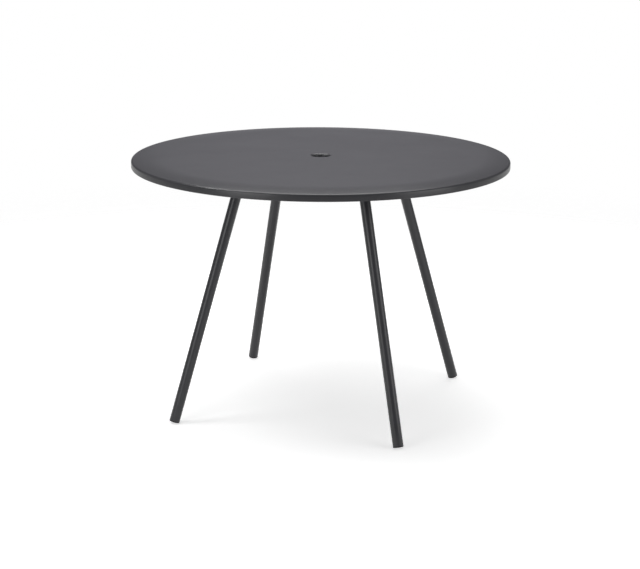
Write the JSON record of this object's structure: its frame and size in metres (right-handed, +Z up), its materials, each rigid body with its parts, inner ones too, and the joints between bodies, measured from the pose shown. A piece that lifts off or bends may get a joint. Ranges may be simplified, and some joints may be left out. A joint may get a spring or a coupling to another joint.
{
  "type": "outdoor dining table",
  "caption": "Round outdoor dining table with a pressed metal top that slopes off to a turned-down rim, an open parasol hole, and splayed tube legs that bolt onto spigots under a cross frame.",
  "frame": {"origin": "on the floor, under the middle of the table", "axes": "+Z up through the parasol hole, -Y towards the front, legs on the diagonals between X and Y"},
  "size_m": [1.0999, 1.1, 0.75],
  "materials": {
    "coated_metal": "fine-textured matt powder coat in dark grey",
    "black_plastic": "matt moulded nylon",
    "bolt_steel": "stainless steel"
  },
  "bodies": {
    "root": {"table_top": "coated_metal", "hub_box": "coated_metal", "rail_back_right": "coated_metal", "rail_back_left": "coated_metal", "rail_front_left": "coated_metal", "rail_front_right": "coated_metal", "rail_cap_back_right": "black_plastic", "rail_cap_back_left": "black_plastic", "rail_cap_front_left": "black_plastic", "rail_cap_front_right": "black_plastic", "leg_pad_back_right": "coated_metal", "leg_pad_back_left": "coated_metal", "leg_pad_front_left": "coated_metal", "leg_pad_front_right": "coated_metal", "leg_spigot_back_right": "coated_metal", "leg_spigot_back_left": "coated_metal", "leg_spigot_front_left": "coated_metal", "leg_spigot_front_right": "coated_metal", "leg_tube_back_right": "coated_metal", "leg_tube_back_left": "coated_metal", "leg_tube_front_left": "coated_metal", "leg_tube_front_right": "coated_metal", "leg_bolts": "bolt_steel", "glide_back_right": "black_plastic", "glide_back_left": "black_plastic", "glide_front_left": "black_plastic", "glide_front_right": "black_plastic"}
  },
  "joints": []
}
